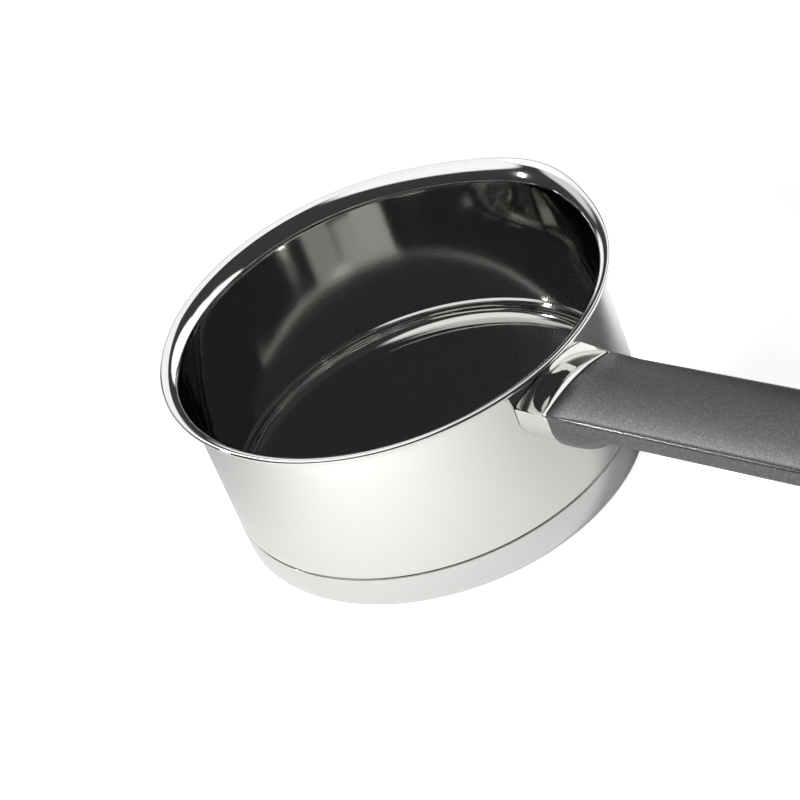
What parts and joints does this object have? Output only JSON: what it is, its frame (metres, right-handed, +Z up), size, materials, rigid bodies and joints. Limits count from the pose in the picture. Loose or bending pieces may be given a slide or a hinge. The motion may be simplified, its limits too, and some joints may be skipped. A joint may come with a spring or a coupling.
{
  "type": "saucepan",
  "caption": "Polished steel saucepan with a flared pouring rim, a pouring lip, a sealed sandwich base and a long fixed handle for cooking on a hob.",
  "frame": {"origin": "centre of the flat underside of the base, where the pan stands on the hob", "axes": "+Z up along the vessel's axis, +X from the vessel along the handle, +Y towards the pouring lip"},
  "size_m": [0.3412, 0.1772, 0.0838],
  "materials": {
    "polished_steel": "mirror polished inside and out",
    "base_steel": "mirror polished band",
    "core_aluminium": "rolled, sealed inside the base",
    "collar_steel": "mirror polished",
    "bracket_steel": "mill finish, hidden",
    "grip_plastic": "satin grey with fine metal flake",
    "screw_steel": "zinc plated",
    "washer_steel": "zinc plated",
    "nut_steel": "zinc plated, hidden"
  },
  "bodies": {
    "root": {"pot_body": "polished_steel", "base_cap": "base_steel", "heat_core": "core_aluminium", "handle_collar": "collar_steel", "handle_bracket": "bracket_steel", "handle_grip": "grip_plastic", "handle_screw": "screw_steel", "screw_washer": "washer_steel", "bracket_nut": "nut_steel"}
  },
  "joints": []
}
